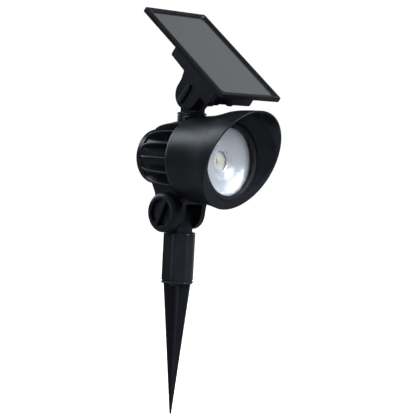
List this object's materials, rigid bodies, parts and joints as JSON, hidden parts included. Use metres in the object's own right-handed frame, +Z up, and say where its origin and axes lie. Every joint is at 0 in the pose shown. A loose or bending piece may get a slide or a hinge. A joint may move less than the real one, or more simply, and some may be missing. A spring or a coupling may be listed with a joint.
{
  "type": "solar garden spotlight",
  "caption": "Solar spotlight on a ground spike: hooded lamp head on a tilting yoke, with a tilting solar panel on a swivel above it.",
  "frame": {"origin": "centre of the sleeve's lower face, where the spike enters the ground", "axes": "+Z up along the stake, the lamp faces -Y, every hinge runs along X with the knobs on the -X side"},
  "size_m": [0.0886, 0.124, 0.3563],
  "materials": {
    "black_plastic": "satin moulded",
    "spike_plastic": "satin moulded",
    "holder_plastic": "matte moulded",
    "chrome_plastic": "vacuum metallised",
    "clear_lens": "clear polycarbonate",
    "panel_glass": "tempered glass",
    "silicon": "solar cell",
    "seal_rubber": "matte",
    "steel": "zinc plated",
    "aluminium": "pressed",
    "white_board": "solder resist",
    "green_board": "solder resist",
    "phosphor": "phosphor",
    "cell_wrap": "shrink wrap",
    "component_black": "epoxy"
  },
  "bodies": {
    "stake": {"ground_spike": "spike_plastic", "stake_sleeve": "black_plastic"},
    "lamp_head": {"rear_housing": "black_plastic", "front_shell": "black_plastic", "shell_screws": "steel", "heat_sink": "aluminium", "heat_sink_screws": "steel", "led_board": "white_board", "led_emitter": "phosphor", "led_board_screws": "steel", "reflector": "chrome_plastic", "lens_gasket": "seal_rubber", "lens": "clear_lens", "lens_ring": "black_plastic", "hinge_nut": "steel"},
    "hinge_knob": {"hinge_knob": "black_plastic", "hinge_bolt": "steel"},
    "swivel": {"swivel_post": "black_plastic", "swivel_washer": "steel", "swivel_screw": "steel"},
    "panel": {"back_housing": "black_plastic", "neck_nut": "steel", "panel_frame": "black_plastic", "solar_cells": "silicon", "panel_glass": "panel_glass", "housing_seal": "seal_rubber", "housing_screws": "steel", "battery_holder": "holder_plastic", "battery": "cell_wrap", "battery_spring": "steel", "battery_contact": "steel", "circuit_board": "green_board", "circuit_parts": "component_black", "switch_body": "component_black"},
    "neck_knob": {"neck_knob": "black_plastic", "neck_bolt": "steel"},
    "switch_button": {"switch_button": "seal_rubber"}
  },
  "joints": [
    {"name": "head_tilt", "type": "hinge", "parent": "stake", "child": "lamp_head", "pos_m": [0, 0, 0.0625], "axis": [1, 0, 0], "range_deg": [-75, 45]},
    {"name": "hinge_knob_turn", "type": "hinge", "parent": "lamp_head", "child": "hinge_knob", "pos_m": [0, 0, 0.0625], "axis": [-1, 0, 0], "range_deg": [0, 360]},
    {"name": "panel_swivel", "type": "hinge", "parent": "lamp_head", "child": "swivel", "pos_m": [0, -0.0075, 0.1484], "axis": [0, 0, 1], "range_deg": [-170, 170]},
    {"name": "panel_tilt", "type": "hinge", "parent": "swivel", "child": "panel", "pos_m": [0, -0.018, 0.1656], "axis": [1, 0, 0], "range_deg": [-65, 5]},
    {"name": "neck_knob_turn", "type": "hinge", "parent": "panel", "child": "neck_knob", "pos_m": [0, -0.018, 0.1656], "axis": [-1, 0, 0], "range_deg": [0, 360]},
    {"name": "switch_press", "type": "slide", "parent": "panel", "child": "switch_button", "axis": [0, -0.6088, 0.7934], "range_m": [0, 0.0012], "stiffness_N_per_m": 800, "springref_m": -0.001}
  ]
}
